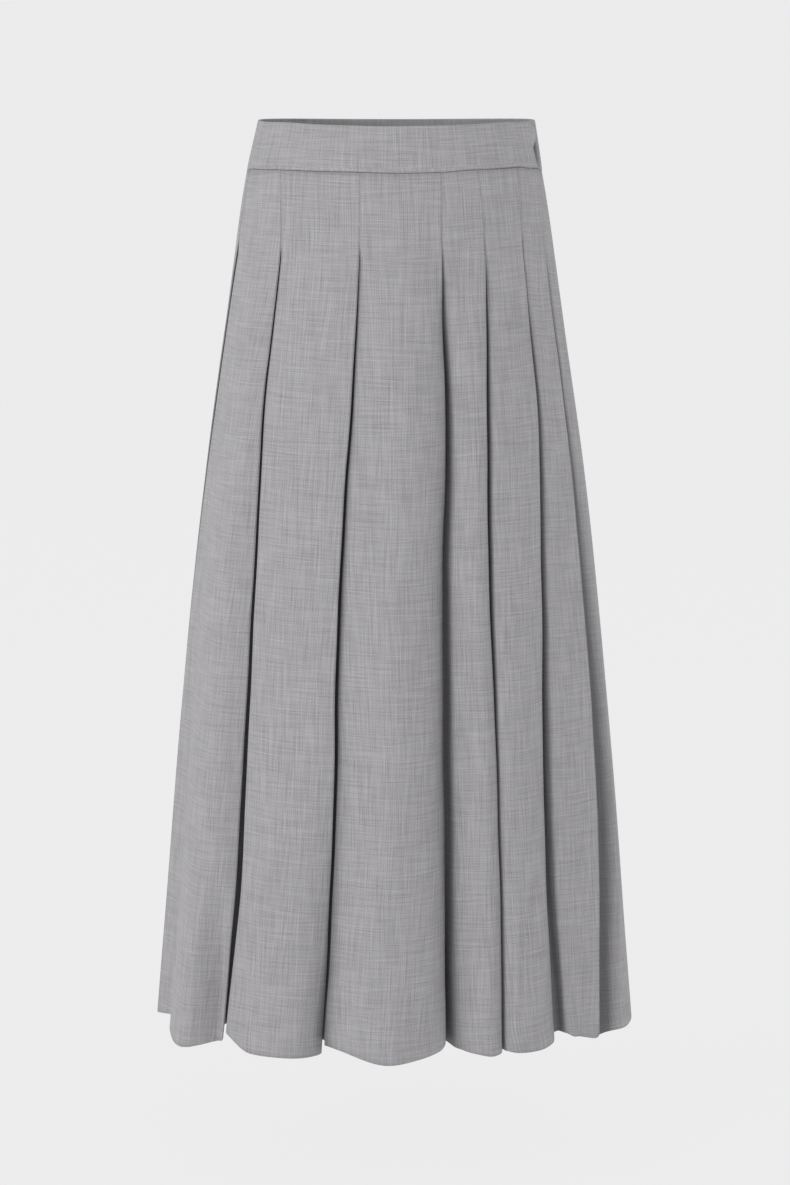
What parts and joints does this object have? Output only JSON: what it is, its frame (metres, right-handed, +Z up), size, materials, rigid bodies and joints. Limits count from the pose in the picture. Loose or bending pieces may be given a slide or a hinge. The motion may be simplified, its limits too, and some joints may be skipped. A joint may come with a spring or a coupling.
{
  "type": "pleated maxi skirt",
  "caption": "Long skirt filled out as worn: a hollow cloth wall in one-way knife pleats, a plain waistband and a hidden side zip.",
  "frame": {"origin": "centre of the waist opening, half way up the waistband", "axes": "+Z up the wearer's body, -Y the way the wearer faces, +X to the wearer's left, where the closure is"},
  "size_m": [0.4879, 0.3166, 0.9107],
  "materials": {
    "wool_cloth": "matt",
    "zip_tape": "matt",
    "zip_metal": "satin"
  },
  "bodies": {
    "root": {"skirt_front": "wool_cloth", "skirt_back": "wool_cloth", "waistband_front": "wool_cloth", "waistband_back": "wool_cloth", "zip_tape": "zip_tape", "zip_chain": "zip_tape", "zip_slider": "zip_metal", "band_hook": "zip_metal", "band_bar": "zip_metal"}
  },
  "joints": []
}
